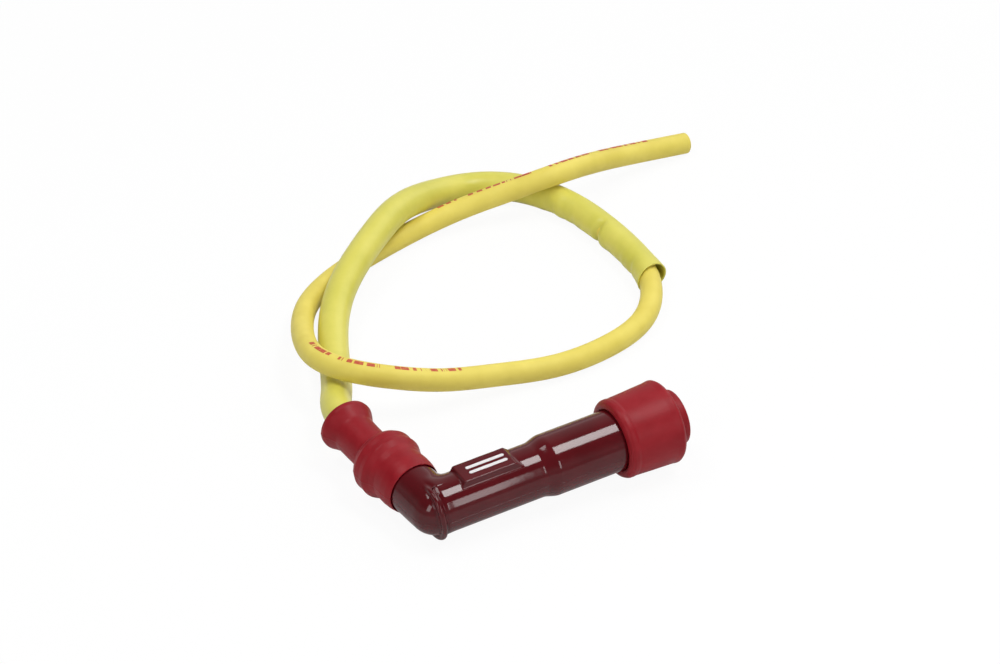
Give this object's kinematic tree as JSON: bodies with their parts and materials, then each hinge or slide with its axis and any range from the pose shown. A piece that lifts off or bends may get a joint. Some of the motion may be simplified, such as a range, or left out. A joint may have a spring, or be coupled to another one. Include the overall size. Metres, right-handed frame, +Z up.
{
  "type": "spark plug cap",
  "caption": "Elbow spark plug cap with rubber boots over the plug and the cable tube, and its yellow high-tension lead, part-sleeved, laid in a loose overhand knot.",
  "frame": {"origin": "bottom centre of the cap's own bounding box, without the lead and its sleeve, on the surface that the cap lies on", "axes": "+X along the barrel towards the plug as seen from above, +Z up with the flat pad uppermost, +Y to the side where the cable tube points"},
  "size_m": [0.184, 0.1672, 0.0252],
  "materials": {
    "maroon_phenolic": "glossy moulded phenolic",
    "red_rubber": "satin moulded rubber",
    "brass": "turned",
    "spring_steel": "plain drawn and turned steel",
    "white_ceramic": "unglazed",
    "yellow_silicone": "satin extruded silicone",
    "sleeve_silicone": "slightly glossy thin-walled silicone"
  },
  "bodies": {
    "root": {"cap_body": "maroon_phenolic", "plug_boot": "red_rubber", "cable_boot": "red_rubber", "plug_terminal": "brass", "terminal_clip": "spring_steel", "resistor_rod": "white_ceramic", "resistor_cap_front": "spring_steel", "resistor_cap_rear": "spring_steel", "contact_spring": "spring_steel", "contact_block": "brass", "cable_screw": "spring_steel", "ht_lead": "yellow_silicone", "lead_sleeve": "sleeve_silicone"}
  },
  "joints": []
}
